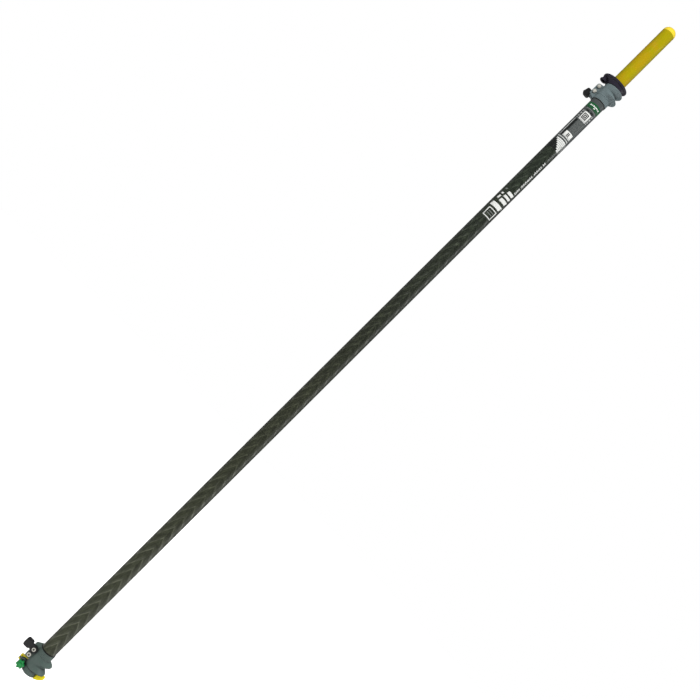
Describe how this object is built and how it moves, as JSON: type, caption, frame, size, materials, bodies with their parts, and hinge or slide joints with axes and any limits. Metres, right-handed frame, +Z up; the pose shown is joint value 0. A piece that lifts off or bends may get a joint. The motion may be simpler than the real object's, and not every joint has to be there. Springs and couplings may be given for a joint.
{
  "type": "telescopic extension pole",
  "caption": "Telescopic carbon-fibre extension pole, closed, with cam clamps at both ends, a yellow spigot at the top, a socket at the foot and a hose guide.",
  "frame": {"origin": "centre of the socket's mouth, at the foot of the pole", "axes": "+Z up the pole, towards the spigot; +X towards the clamps' fins; -X towards the clamps' levers; the lower lever and the knob face -Y"},
  "size_m": [0.0855, 0.0606, 1.9837],
  "materials": {
    "carbon": "clear-coated carbon fibre, herringbone wrap",
    "label_film": "printed film",
    "clamp_grey": "moulded glass-filled nylon",
    "clamp_light_grey": "moulded glass-filled nylon",
    "nylon": "plain nylon",
    "bright_steel": "bright stainless steel",
    "black_plastic": "moulded",
    "black_rubber": "moulded rubber",
    "yellow_glass_fibre": "lacquered",
    "yellow_plastic": "moulded",
    "green_plastic": "moulded"
  },
  "bodies": {
    "pole": {"outer_tube": "carbon", "stop_ring": "nylon", "label_film": "label_film", "hose_guide": "black_rubber", "upper_clamp_body": "clamp_light_grey", "upper_clamp_liner": "nylon", "upper_clamp_screw": "bright_steel", "upper_screw_nut": "bright_steel", "lower_clamp_body": "clamp_grey", "lower_clamp_liner": "nylon", "lower_clamp_screw": "bright_steel", "lower_screw_nut": "bright_steel", "coupling_ring": "clamp_grey", "lever_dowel": "bright_steel", "coupling_bolt": "bright_steel", "knob_washer": "black_plastic"},
    "wear_ring": {"wear_ring": "nylon"},
    "inner_section": {"inner_tube": "carbon", "tube_foot": "nylon", "spigot": "yellow_glass_fibre", "end_cap": "yellow_plastic"},
    "upper_lever": {"upper_thumb_lever": "black_plastic", "upper_cam_shaft": "bright_steel", "upper_shaft_nut": "bright_steel"},
    "lower_lever": {"lower_thumb_lever": "black_plastic", "lower_cam_shaft": "bright_steel", "lower_shaft_nut": "bright_steel"},
    "upper_shoe": {"upper_pressure_shoe": "nylon"},
    "lower_shoe": {"lower_pressure_shoe": "nylon"},
    "knob": {"star_knob": "green_plastic"},
    "coupling_lever": {"coupling_lever": "yellow_plastic"}
  },
  "joints": [
    {"name": "inner_slide", "type": "slide", "parent": "pole", "child": "wear_ring", "axis": [0, 0, 1], "range_m": [0, 1.4]},
    {"name": "inner_turn", "type": "hinge", "parent": "wear_ring", "child": "inner_section", "pos_m": [0, 0, 0.18], "axis": [0, 0, 1], "continuous": true},
    {"name": "upper_lever_hinge", "type": "hinge", "parent": "pole", "child": "upper_lever", "pos_m": [-0.02218, 0.00807, 1.7517], "axis": [-0.342, -0.9397, 0], "range_deg": [0, 55]},
    {"name": "lower_lever_hinge", "type": "hinge", "parent": "pole", "child": "lower_lever", "pos_m": [-0.0236, 0, 0.0448], "axis": [0, 1, 0], "range_deg": [0, 70]},
    {"name": "upper_shoe_rock", "type": "hinge", "parent": "pole", "child": "upper_shoe", "pos_m": [-0.02218, 0.00807, 1.7666], "axis": [0.342, 0.9397, 0], "range_deg": [0, 1.2]},
    {"name": "lower_shoe_rock", "type": "hinge", "parent": "pole", "child": "lower_shoe", "pos_m": [-0.0236, 0, 0.0299], "axis": [0, -1, 0], "range_deg": [0, 1.5]},
    {"name": "star_knob_turn", "type": "hinge", "parent": "pole", "child": "knob", "pos_m": [-0.0222, -0.015, 0.006], "axis": [0, 1, 0], "continuous": true},
    {"name": "coupling_lever_hinge", "type": "hinge", "parent": "pole", "child": "coupling_lever", "pos_m": [-0.0305, 0.012, 0.0055], "axis": [0, 0, 1], "range_deg": [0, 95]}
  ],
  "couplings": [
    {"joint": "upper_shoe_rock", "follows": "upper_lever_hinge", "ratio": 0.02},
    {"joint": "lower_shoe_rock", "follows": "lower_lever_hinge", "ratio": 0.02}
  ]
}
